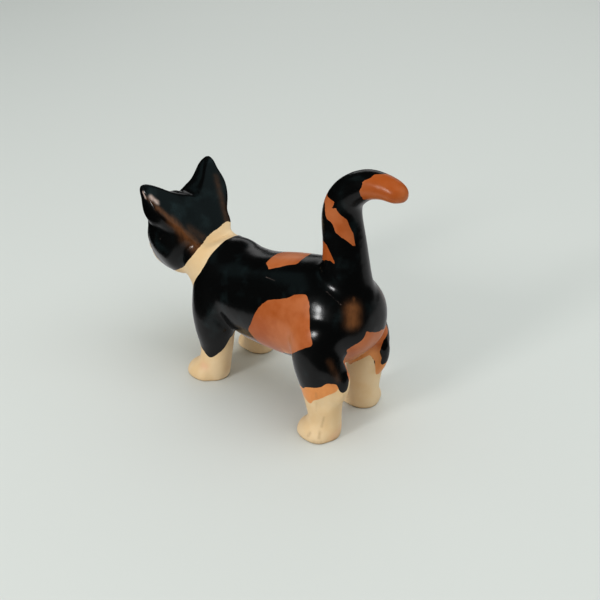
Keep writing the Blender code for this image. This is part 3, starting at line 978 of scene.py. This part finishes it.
# %% Dyed and waxed soapstone
BLACK_DYE = (0.004, 0.0042, 0.0042, 1)
BLACK_BLOOM = (0.012, 0.020, 0.021, 1)
# Brown of worn dye, which also paints a warm reflection.
WORN_AND_REFLECTED_BROWN = (0.16, 0.066, 0.025, 1)
# Pale stone of the scratches, which also paints highlights.
PALE_SCRATCH_AND_HIGHLIGHT = (0.50, 0.38, 0.33, 1)
ORANGE_DEEP = (0.37, 0.088, 0.014, 1)
ORANGE_PALE = (0.47, 0.150, 0.050, 1)
ORANGE_THIN = (0.72, 0.30, 0.09, 1)
CREAM = (0.73, 0.55, 0.34, 1)
CREAM_DEEP = (0.69, 0.48, 0.26, 1)
DIRT_BROWN = (0.30, 0.17, 0.08, 1)
PINK = (0.72, 0.40, 0.26, 1)

stone = Recipe("dyed_soapstone")
wobble = (stone.noise(0.0016, detail=3) - 0.5) * 0.45
orange = (stone.attribute("orange_depth") + wobble).ramp(-0.05, 0.05)
cream = (stone.attribute("cream_depth") + wobble).ramp(-0.05, 0.05)
clouds = stone.noise(0.012, detail=4).ramp(0.35, 0.65)
scratches = stone.noise(0.0012, detail=4, stretch=(1, 1, 0.25), shift=5)
black_colour = stone.mix(stone.noise(0.008, detail=5, shift=3).ramp(0.5, 0.8), BLACK_DYE, BLACK_BLOOM)
# Brown where the dye is worn, which also paints a warm reflection on the polish.
worn_and_reflected_share = (stone.attribute("worn_and_reflected") * (0.55 + 0.9 * scratches)).ramp(0.02, 0.95)
black_colour = stone.mix(worn_and_reflected_share, black_colour, WORN_AND_REFLECTED_BROWN)
# Pale where the black is scratched, and painted highlights on the ear tip.
scratched_and_highlit = (stone.attribute("scratch_and_highlight") * (0.4 + 1.2 * scratches)).ramp(0.1, 1.0)
black_colour = stone.mix(scratched_and_highlit, black_colour, PALE_SCRATCH_AND_HIGHLIGHT)
orange_colour = stone.mix(clouds, ORANGE_DEEP, ORANGE_PALE)
orange_colour = stone.mix(stone.attribute("thin_dye") * (0.7 + 0.3 * scratches), orange_colour, ORANGE_THIN)
cream_colour = stone.mix(stone.noise(0.010, detail=4, shift=7).ramp(0.3, 0.7), CREAM, CREAM_DEEP)
cream_colour = stone.mix(stone.attribute("blush") * 0.6, cream_colour, PINK)
colour = stone.mix(orange, black_colour, orange_colour)
colour = stone.mix(cream, colour, cream_colour)
colour = stone.mix((stone.attribute("dirt") * (0.5 + scratches)).ramp(0.05, 1.2), colour, DIRT_BROWN)
roughness = 0.18 + 0.10 * orange + 0.25 * cream + 0.08 * scratches
swell = stone.noise(0.006, detail=2, shift=2) + 0.06 * scratches
bump = stone.node("ShaderNodeBump", {}, {"Strength": 0.25, "Distance": 0.0004, "Height": swell})
stone.fill(stone.shader, {"Base Color": colour, "Roughness": roughness, "Normal": bump.outputs[0]})
stone.fill(stone.shader, {"Specular IOR Level": 0.4})

# %% The finished piece
write(skin.data, (placed + shift) / SHARE)
skin.name = skin.data.name = "carved_cat"
skin.data.shade_smooth()
skin.data.set_sharp_from_angle(angle=np.radians(50))
skin.data.materials.append(stone.material)
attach(skin, "root")
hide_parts("cat")
print("moved by", shift * 1000, "mm onto the frame")

# %% [markdown]
# ## The floor and the light
# The cat stands on a plain pale sheet under soft daylight.  A picture of a room could light
# it.  Here a few large soft boxes do: a small bright window that the polish mirrors on the
# haunch, dim ones that draw the rims of the black, and a wide ceiling for the shadows.

# %% The floor
FLOOR = (0.62, 0.63, 0.60, 1)
FLOOR_REACH = 3.0         # metres from the middle to an edge

floor_mesh = bpy.data.meshes.new("floor")
floor_corners = [(FLOOR_REACH * side, FLOOR_REACH * end, 0)
                 for side, end in ((-1, -1), (1, -1), (1, 1), (-1, 1))]
floor_mesh.from_pydata(floor_corners, [], [(0, 1, 2, 3)])
floor = linked("floor", floor_mesh)
ground = Recipe("pale_floor")
ground.fill(ground.shader, {"Base Color": FLOOR, "Roughness": 0.7})
floor_mesh.materials.append(ground.material)


# %% The light
def softbox(name, azimuth, elevation, distance, size, power, colour=(1, 1, 1)):
    """A square of light that faces the cat from an azimuth and an elevation in degrees."""
    back = Vector(towards(azimuth, elevation))
    lamp = bpy.data.lights.new(name, "AREA")
    lamp.shape = "RECTANGLE"
    lamp.size, lamp.size_y = size
    lamp.energy = power
    lamp.color = colour
    box = linked(name, lamp)
    box.location = Vector((0, 0, 0.04)) + back * distance
    box.rotation_mode = "QUATERNION"
    box.rotation_quaternion = (-back).to_track_quat("-Z", "Y")
    return box


softbox("window", 84, 22, 1.2, (0.22, 0.26), 4.5)
softbox("sky_left", 25, 38, 1.5, (1.0, 0.5), 0.3, (0.55, 0.95, 1.0))
softbox("sky_right", 225, 40, 1.5, (1.2, 0.6), 0.9, (0.65, 0.95, 1.0))
softbox("far_wall", 305, 20, 1.5, (1.2, 0.5), 1.3)
ceiling = softbox("ceiling", 190, 71, 1.8, (2.0, 2.0), 16.5)
ceiling.visible_glossy = False

# %% [markdown]
# ## What the polish mirrors of the table
# The black is so glossy that its lower half mirrors the table, but only near the cat: further
# off, the real table lies in shade.  A floor as wide as this one would mirror as one pale
# field, so the polish sees a low sheet of light in its place, where the table is bright.

# %% A sheet of light on the table
GLOW_BEHIND, GLOW_BESIDE, GLOW_LIFT = 0.38, 0.28, 0.0005     # metres

floor.visible_glossy = False
bounce = softbox("table_glow", 0, 90, 1.0, (0.75, 1.0), 1.2)
beyond = Vector(towards(CAMERA_AZIMUTH + 180, 0))
beside_it = Vector(towards(CAMERA_AZIMUTH + 90, 0))
bounce.location = beyond * GLOW_BEHIND + beside_it * GLOW_BESIDE
bounce.location.z = GLOW_LIFT
bounce.rotation_mode = "XYZ"
bounce.rotation_euler = (np.pi, 0, np.radians(PHOTO_EYE[0]))
bounce.visible_diffuse = False
bounce.visible_camera = False
world = bpy.data.worlds.new("room")
world.use_nodes = True
world.node_tree.nodes["Background"].inputs["Color"].default_value = (0.95, 1.0, 1.0, 1)
world.node_tree.nodes["Background"].inputs["Strength"].default_value = 0.5
world.cycles_visibility.glossy = False
bpy.context.scene.world = world
bpy.context.scene.view_settings.view_transform = "Standard"
bpy.context.scene.view_settings.look = "Medium High Contrast"
